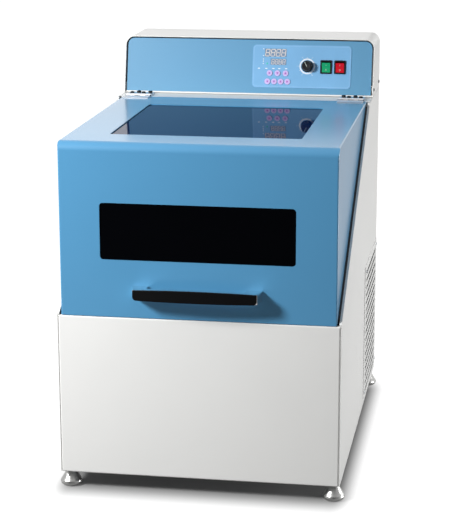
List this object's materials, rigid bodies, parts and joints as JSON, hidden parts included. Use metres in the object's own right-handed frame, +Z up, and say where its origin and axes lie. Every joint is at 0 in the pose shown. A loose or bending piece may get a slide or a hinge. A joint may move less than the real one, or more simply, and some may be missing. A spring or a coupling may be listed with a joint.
{
  "type": "incubated benchtop shaker",
  "caption": "Incubated shaker: wedge lid with dark windows and a bow handle, hinged over an orbiting tray, with a control head behind.",
  "frame": {"origin": "on the floor, under the middle of the machine's bounding box", "axes": "+Z up; the front with the handle faces -Y; +X is to the right of someone who faces the front"},
  "size_m": [0.576, 0.8454, 0.8316],
  "materials": {
    "white_paint": "powder coat",
    "blue_paint": "gloss powder coat",
    "zinc_sheet": "zinc plate",
    "stainless": "brushed",
    "machined_steel": "turned",
    "chrome": "polished",
    "cast_aluminium": "cast",
    "motor_black": "black enamel",
    "heater_sheath": "oxidised",
    "foam": "foam",
    "black_rubber": "matt",
    "dark_screw": "blackened",
    "tinted_glass": "dark tint",
    "black_plastic": "gloss",
    "overlay_film": "satin",
    "board": "satin",
    "pink_keys": "satin",
    "green_plastic": "gloss",
    "red_plastic": "gloss"
  },
  "bodies": {
    "cabinet": {"front_panel": "white_paint", "rear_panel": "white_paint", "left_side_panel": "white_paint", "right_side_panel": "white_paint", "vent_covers": "white_paint", "top_deck": "white_paint", "head_shell": "white_paint", "control_panel": "blue_paint", "base_pan": "zinc_sheet", "support_columns": "zinc_sheet", "drive_plate": "zinc_sheet", "chamber_tub": "stainless", "fan_cover": "stainless", "temperature_probe": "stainless", "crank_bearings": "stainless", "hinge_pins": "stainless", "levelling_feet": "chrome", "deck_hinge_leaves": "chrome", "crank_housings": "cast_aluminium", "evaporator": "cast_aluminium", "condenser": "cast_aluminium", "drive_motor": "motor_black", "fan_motor": "motor_black", "compressor": "motor_black", "heater": "heater_sheath", "chamber_insulation": "foam", "rim_gasket": "black_rubber", "drive_belt": "black_rubber", "fixing_screws": "dark_screw", "rocker_frames": "black_plastic", "power_inlet": "black_plastic", "display_module": "black_plastic", "overlay_sheet": "overlay_film", "control_board": "board", "potentiometer": "board"},
    "lid": {"lid_shell": "blue_paint", "lid_liner": "stainless", "front_window": "tinted_glass", "top_window": "tinted_glass", "handle_bar": "chrome", "handle_strip": "black_plastic", "lid_hinge_leaves": "chrome"},
    "main_crank": {"main_crank": "machined_steel", "driven_pulley": "cast_aluminium"},
    "left_idler": {"left_idler_crank": "machined_steel"},
    "right_idler": {"right_idler_crank": "machined_steel"},
    "motor_rotor": {"motor_pulley": "machined_steel"},
    "platform": {"tray_carrier": "cast_aluminium", "shaker_tray": "cast_aluminium"},
    "fan": {"fan_wheel": "cast_aluminium"},
    "knob": {"speed_knob": "black_plastic"},
    "green_rocker": {"green_rocker": "green_plastic"},
    "red_rocker": {"red_rocker": "red_plastic"},
    "key_1": {"key_1": "pink_keys"},
    "key_2": {"key_2": "pink_keys"},
    "key_3": {"key_3": "pink_keys"},
    "key_4": {"key_4": "pink_keys"},
    "key_5": {"key_5": "pink_keys"},
    "key_6": {"key_6": "pink_keys"},
    "key_7": {"key_7": "pink_keys"}
  },
  "joints": [
    {"name": "lid_hinge", "type": "hinge", "parent": "cabinet", "child": "lid", "pos_m": [0, 0.19825, 0.7104], "axis": [-1, 0, 0], "range_deg": [0, 80]},
    {"name": "crank_spin", "type": "hinge", "parent": "cabinet", "child": "main_crank", "pos_m": [0, -0.18725, 0.165], "axis": [0, 0, 1], "continuous": true},
    {"name": "left_idler_spin", "type": "hinge", "parent": "cabinet", "child": "left_idler", "pos_m": [-0.11, -0.05725, 0.28], "axis": [0, 0, 1], "continuous": true},
    {"name": "right_idler_spin", "type": "hinge", "parent": "cabinet", "child": "right_idler", "pos_m": [0.11, -0.05725, 0.28], "axis": [0, 0, 1], "continuous": true},
    {"name": "motor_spin", "type": "hinge", "parent": "cabinet", "child": "motor_rotor", "pos_m": [0, 0.01025, 0.165], "axis": [0, 0, 1], "continuous": true},
    {"name": "platform_orbit", "type": "hinge", "parent": "main_crank", "child": "platform", "pos_m": [0, -0.19975, 0.33], "axis": [0, 0, 1], "continuous": true},
    {"name": "fan_spin", "type": "hinge", "parent": "cabinet", "child": "fan", "pos_m": [0, 0.12525, 0.45], "axis": [0, 1, 0], "continuous": true},
    {"name": "speed_dial", "type": "hinge", "parent": "cabinet", "child": "knob", "pos_m": [0.1321, 0.25774, 0.77357], "axis": [0, -0.9748, 0.2233], "range_deg": [-150, 150]},
    {"name": "green_rocker_tilt", "type": "hinge", "parent": "cabinet", "child": "green_rocker", "pos_m": [0.174, 0.2722, 0.76954], "axis": [-1, 0, 0], "range_deg": [0, 20]},
    {"name": "red_rocker_tilt", "type": "hinge", "parent": "cabinet", "child": "red_rocker", "pos_m": [0.2048, 0.2722, 0.76954], "axis": [-1, 0, 0], "range_deg": [0, 20]},
    {"name": "key_1_press", "type": "slide", "parent": "cabinet", "child": "key_1", "axis": [0, 0.9748, -0.2233], "range_m": [0, 0.0008], "stiffness_N_per_m": 800, "springref_m": -0.0004},
    {"name": "key_2_press", "type": "slide", "parent": "cabinet", "child": "key_2", "axis": [0, 0.9748, -0.2233], "range_m": [0, 0.0008], "stiffness_N_per_m": 800, "springref_m": -0.0004},
    {"name": "key_3_press", "type": "slide", "parent": "cabinet", "child": "key_3", "axis": [0, 0.9748, -0.2233], "range_m": [0, 0.0008], "stiffness_N_per_m": 800, "springref_m": -0.0004},
    {"name": "key_4_press", "type": "slide", "parent": "cabinet", "child": "key_4", "axis": [0, 0.9748, -0.2233], "range_m": [0, 0.0008], "stiffness_N_per_m": 800, "springref_m": -0.0004},
    {"name": "key_5_press", "type": "slide", "parent": "cabinet", "child": "key_5", "axis": [0, 0.9748, -0.2233], "range_m": [0, 0.0008], "stiffness_N_per_m": 800, "springref_m": -0.0004},
    {"name": "key_6_press", "type": "slide", "parent": "cabinet", "child": "key_6", "axis": [0, 0.9748, -0.2233], "range_m": [0, 0.0008], "stiffness_N_per_m": 800, "springref_m": -0.0004},
    {"name": "key_7_press", "type": "slide", "parent": "cabinet", "child": "key_7", "axis": [0, 0.9748, -0.2233], "range_m": [0, 0.0008], "stiffness_N_per_m": 800, "springref_m": -0.0004}
  ],
  "couplings": [
    {"joint": "left_idler_spin", "follows": "crank_spin", "ratio": 1},
    {"joint": "right_idler_spin", "follows": "crank_spin", "ratio": 1},
    {"joint": "platform_orbit", "follows": "crank_spin", "ratio": -1},
    {"joint": "motor_spin", "follows": "crank_spin", "ratio": 3.1818}
  ]
}
